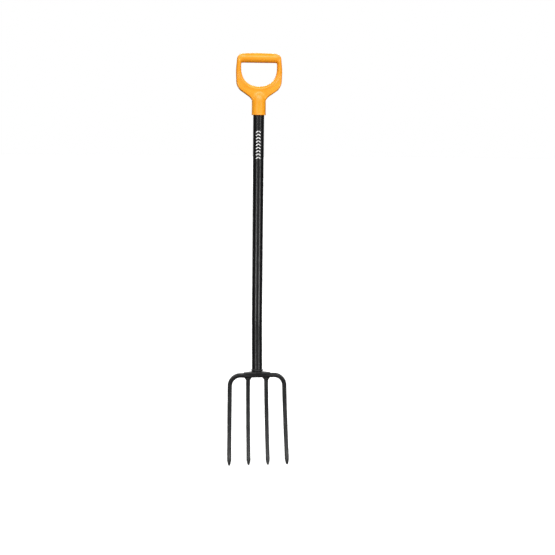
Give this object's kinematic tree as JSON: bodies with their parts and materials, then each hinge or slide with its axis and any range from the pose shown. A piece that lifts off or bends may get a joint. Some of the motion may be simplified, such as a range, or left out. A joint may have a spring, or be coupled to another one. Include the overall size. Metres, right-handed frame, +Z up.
{
  "type": "digging fork",
  "caption": "Garden digging fork: a moulded D grip on a round steel shaft with one shallow bend, and a welded head of curved, pointed tines under a bent crossbar.",
  "frame": {"origin": "the middle of the fork's box in X and Y, on the plane of the tine tips", "axes": "+Z up the shaft to the grip; +X along the crossbar; -Y is the side that the tines curve towards"},
  "size_m": [0.185, 0.1116, 1.204],
  "materials": {
    "grip_moulding": "orange moulded plastic, semi-gloss",
    "tube_coat": "black satin coat on a drawn steel tube",
    "forged_coat": "dark charcoal coat over forged bar",
    "weld_coat": "the same coat over rippled weld beads",
    "screw_zinc": "zinc plated"
  },
  "bodies": {
    "root": {"d_grip": "grip_moulding", "grip_screw": "screw_zinc", "shaft_tube": "tube_coat", "head_tang": "forged_coat", "outer_tine_bow": "forged_coat", "inner_tine_left": "forged_coat", "inner_tine_right": "forged_coat", "tube_foot_weld": "weld_coat", "saddle_weld_front": "weld_coat", "saddle_weld_rear": "weld_coat", "inner_tine_weld_left": "weld_coat", "inner_tine_weld_right": "weld_coat"}
  },
  "joints": []
}
